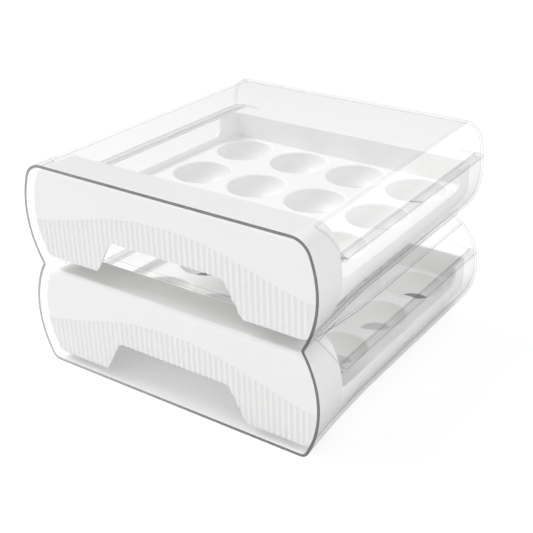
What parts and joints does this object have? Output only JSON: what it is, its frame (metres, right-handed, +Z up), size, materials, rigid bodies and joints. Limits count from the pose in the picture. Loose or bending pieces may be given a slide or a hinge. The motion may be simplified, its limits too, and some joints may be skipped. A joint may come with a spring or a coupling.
{
  "type": "egg storage drawer",
  "caption": "Stacked pair of egg drawers: white trays with round cups and ribbed fronts, sliding in a clear open-sided housing.",
  "frame": {"origin": "middle of the rectangle round the part, on the surface it stands on", "axes": "+X to the right seen from the front, -Y out of the open front, the way the drawers slide, +Z up"},
  "size_m": [0.24, 0.2306, 0.151],
  "materials": {
    "clear_shell": "clear, polished",
    "white_tray": "satin",
    "white_front": "satin"
  },
  "bodies": {
    "housing": {"housing": "clear_shell"},
    "lower_drawer": {"lower_tray": "white_tray", "lower_front": "white_front"},
    "upper_drawer": {"upper_tray": "white_tray", "upper_front": "white_front"}
  },
  "joints": [
    {"name": "lower_slide", "type": "slide", "parent": "housing", "child": "lower_drawer", "axis": [0, -1, 0], "range_m": [0, 0.19]},
    {"name": "upper_slide", "type": "slide", "parent": "housing", "child": "upper_drawer", "axis": [0, -1, 0], "range_m": [0, 0.19]}
  ]
}
